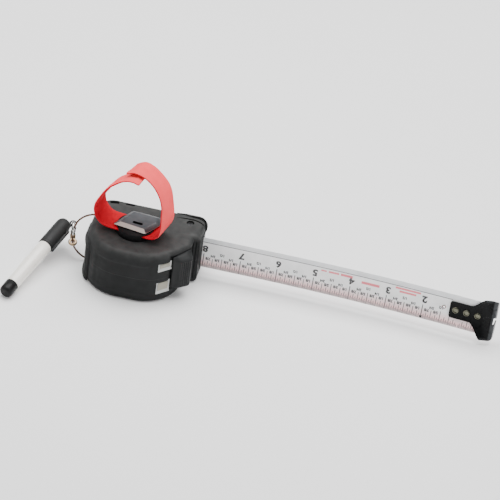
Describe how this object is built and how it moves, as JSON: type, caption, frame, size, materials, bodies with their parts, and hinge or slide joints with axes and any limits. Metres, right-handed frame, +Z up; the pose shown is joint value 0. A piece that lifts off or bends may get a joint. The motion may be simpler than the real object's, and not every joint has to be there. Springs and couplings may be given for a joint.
{
  "type": "pocket measuring tape",
  "caption": "Pocket measuring tape lying on its side: curved steel blade drawn out to an end hook, hand strap on the case, and a capped marker pen clipped to a wire loop.",
  "frame": {"origin": "on the spool's axis, in the plane of the case's lower side face, which the tape lies on", "axes": "+X along the drawn blade towards the end hook, +Y towards the flat base of the case, +Z up, along the spool's axis"},
  "size_m": [0.3264, 0.0867, 0.0886],
  "materials": {
    "jacket_rubber": "moulded, fine satin texture",
    "shell_plastic": "moulded light grey",
    "window_plastic": "satin light grey",
    "screw_steel": "plated",
    "blade_coating": "nylon coated, printed scale",
    "hook_enamel": "black enamel",
    "rivet_nickel": "dull nickel",
    "lock_plastic": "satin black",
    "brake_rubber": "soft",
    "guide_plastic": "smooth black",
    "drum_plastic": "moulded",
    "spring_steel": "blued strip",
    "post_steel": "turned",
    "boss_plastic": "moulded black",
    "plate_plastic": "satin slate grey",
    "webbing": "red hook-and-loop webbing, pink nap outside",
    "wire_bronze": "dark bronze",
    "ferrule_brass": "dull",
    "clasp_silver": "plated",
    "pen_black": "satin black",
    "pen_cream": "smooth off-white",
    "ink_fibre": "pressed fibre",
    "nib_plastic": "white"
  },
  "bodies": {
    "case": {"jacket_lower": "jacket_rubber", "jacket_upper": "jacket_rubber", "toe_bumper": "jacket_rubber", "rear_grip_pad": "jacket_rubber", "shell_lower": "shell_plastic", "shell_upper": "shell_plastic", "window_lower": "window_plastic", "window_upper": "window_plastic", "mouth_guide": "guide_plastic", "mouth_guide_screw": "screw_steel", "case_screw_1": "screw_steel", "case_screw_2": "screw_steel", "case_screw_3": "screw_steel", "case_screw_4": "screw_steel", "spool_post": "post_steel", "strap_boss": "boss_plastic", "strap_plate": "plate_plastic", "plate_screw": "screw_steel", "strap": "webbing"},
    "spool": {"spool_drum": "drum_plastic", "wound_blade": "blade_coating", "return_spring": "spring_steel"},
    "blade": {"blade": "blade_coating", "hook_rivet_1": "rivet_nickel", "hook_rivet_2": "rivet_nickel", "hook_rivet_3": "rivet_nickel"},
    "hook": {"end_hook": "hook_enamel"},
    "lock": {"lock_slider": "lock_plastic", "lock_brake_shoe": "brake_rubber"},
    "wire": {"wire_loop": "wire_bronze", "wire_ferrule": "ferrule_brass"},
    "clasp_eye": {"clasp_swivel": "ferrule_brass"},
    "clasp": {"clasp_body": "clasp_silver"},
    "gate": {"clasp_gate": "wire_bronze"},
    "cap": {"pen_cap": "pen_black"},
    "pen": {"pen_barrel": "pen_cream", "pen_plug": "pen_black", "pen_ink_reservoir": "ink_fibre", "pen_nib_holder": "nib_plastic", "pen_nib": "ink_fibre"}
  },
  "joints": [
    {"name": "spool_spin", "type": "hinge", "parent": "case", "child": "spool", "pos_m": [0, 0, 0.019], "axis": [0, 0, 1], "range_deg": [-92, 74]},
    {"name": "blade_slide", "type": "slide", "parent": "case", "child": "blade", "axis": [1, 0, 0], "range_m": [-0.024, 0.03]},
    {"name": "hook_play", "type": "slide", "parent": "blade", "child": "hook", "axis": [0.9957, -0.0924, 0], "range_m": [0, 0.0012]},
    {"name": "lock_slide", "type": "hinge", "parent": "case", "child": "lock", "pos_m": [0.0061, 0, 0.019], "axis": [0, 0, 1], "range_deg": [0, 12]},
    {"name": "wire_swing", "type": "hinge", "parent": "case", "child": "wire", "pos_m": [-0.0273, 0.006, 0.019], "axis": [0, 0, 1], "range_deg": [-15, 15]},
    {"name": "clasp_swing", "type": "hinge", "parent": "wire", "child": "clasp_eye", "pos_m": [-0.044, 0.0066, 0.0126], "axis": [0, 0, 1], "range_deg": [-12, 12]},
    {"name": "clasp_turn", "type": "hinge", "parent": "clasp_eye", "child": "clasp", "pos_m": [-0.044, 0.0066, 0.0126], "axis": [-0.2412, 0.9346, 0.2613], "range_deg": [0, 20]},
    {"name": "gate_press", "type": "hinge", "parent": "clasp", "child": "gate", "pos_m": [-0.04657, 0.01656, 0.01324], "axis": [0.9683, 0.2499, 0], "range_deg": [0, 12], "stiffness_Nm_per_rad": 0.002, "springref_deg": -5.73},
    {"name": "cap_swing", "type": "hinge", "parent": "clasp", "child": "cap", "pos_m": [-0.04784, 0.02176, 0.01695], "axis": [0, 0, 1], "range_deg": [-30, 0]},
    {"name": "pen_pull", "type": "slide", "parent": "cap", "child": "pen", "axis": [-0.2837, -0.9461, -0.156], "range_m": [0, 0.02]}
  ],
  "couplings": [
    {"joint": "blade_slide", "follows": "spool_spin", "m_per_rad": -0.0185}
  ]
}
